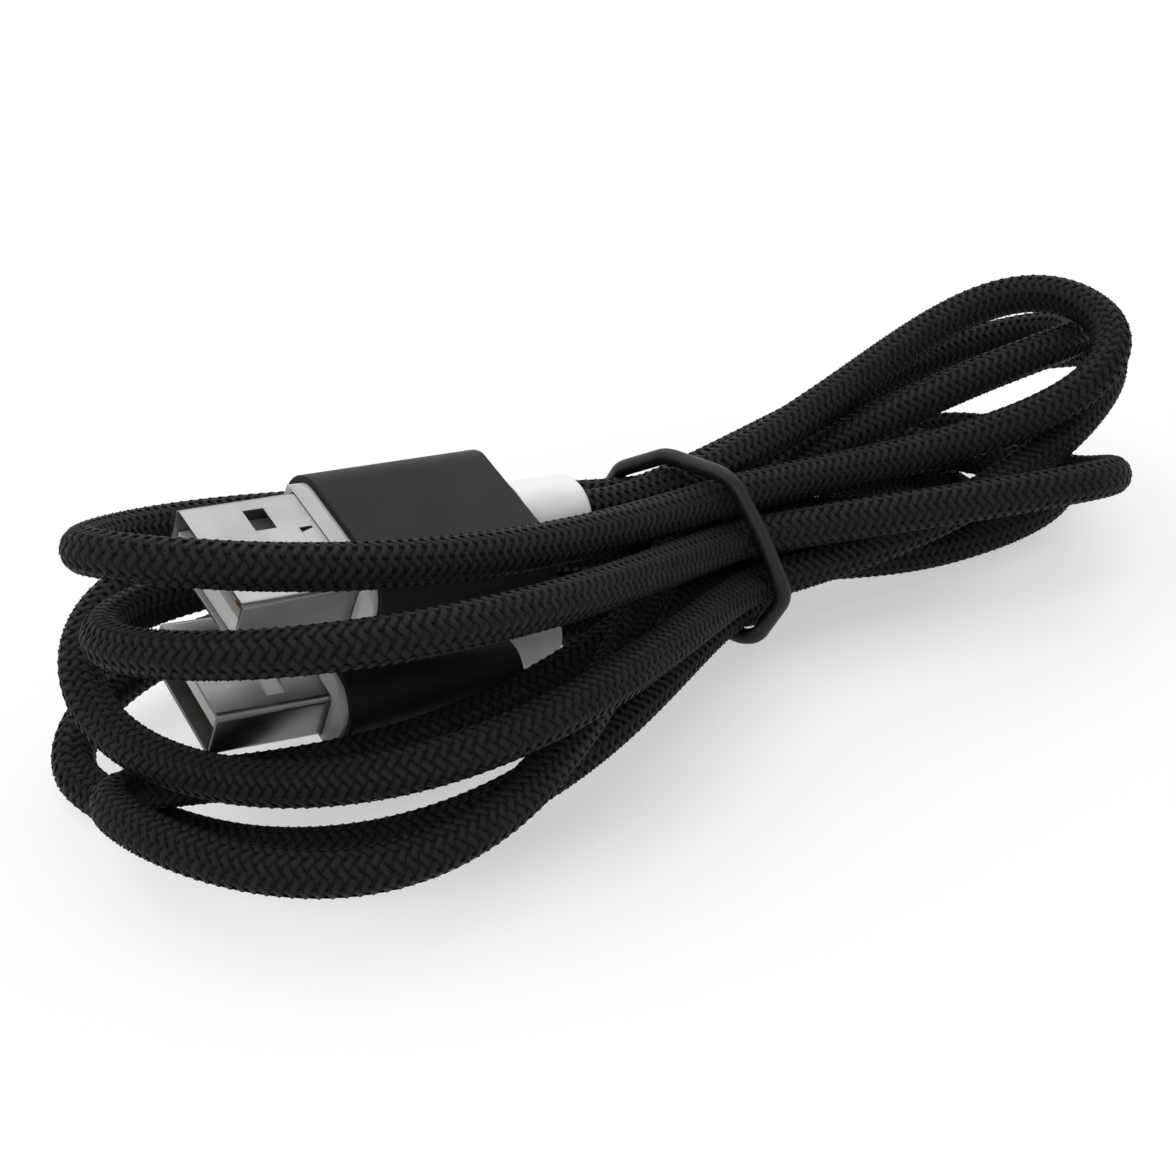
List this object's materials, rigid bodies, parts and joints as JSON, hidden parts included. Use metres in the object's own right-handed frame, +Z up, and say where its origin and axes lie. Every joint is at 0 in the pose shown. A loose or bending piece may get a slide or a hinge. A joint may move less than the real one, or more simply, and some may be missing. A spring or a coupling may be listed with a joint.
{
  "type": "charging cable",
  "caption": "Braided charging cable folded into a hank and held by a rubber ring, with a flat rectangular metal plug in a dark aluminium sleeve at each end",
  "frame": {"origin": "middle of the outline seen from above, at the level that the hank lies on", "axes": "+X along the hank towards the end without plugs, +Y across it, +Z up"},
  "size_m": [0.1166, 0.0544, 0.0307],
  "materials": {
    "braid": "dark charcoal braided polyester with a soft sheen",
    "tie_rubber": "smooth dark rubber, satin",
    "shell_steel": "bright nickel plated sheet steel",
    "tongue_plastic": "white moulded plastic",
    "contact_gold": "gold plated contact blades",
    "carrier_plastic": "natural white moulded plastic",
    "solder_tin": "bright tin solder",
    "wire_insulation": "coloured insulation",
    "cord_jacket": "dark grey inner jacket with its shield folded back",
    "ferrule_steel": "plated crimped sheet",
    "white_plastic": "white satin moulding",
    "sleeve_aluminium": "dark charcoal anodised aluminium, matt with crisp rims"
  },
  "bodies": {
    "root": {"cord_hank": "braid", "tie_ring": "tie_rubber", "plug_a_shell": "shell_steel", "plug_a_tongue": "tongue_plastic", "plug_a_contacts": "contact_gold", "plug_a_carrier": "carrier_plastic", "plug_a_solder": "solder_tin", "plug_a_wires": "wire_insulation", "plug_a_jacket": "cord_jacket", "plug_a_ferrule": "ferrule_steel", "plug_a_collar": "white_plastic", "plug_a_sleeve": "sleeve_aluminium", "plug_a_boot": "white_plastic", "plug_b_shell": "shell_steel", "plug_b_tongue": "tongue_plastic", "plug_b_contacts": "contact_gold", "plug_b_carrier": "carrier_plastic", "plug_b_solder": "solder_tin", "plug_b_wires": "wire_insulation", "plug_b_jacket": "cord_jacket", "plug_b_ferrule": "ferrule_steel", "plug_b_collar": "white_plastic", "plug_b_sleeve": "sleeve_aluminium", "plug_b_boot": "white_plastic"}
  },
  "joints": []
}
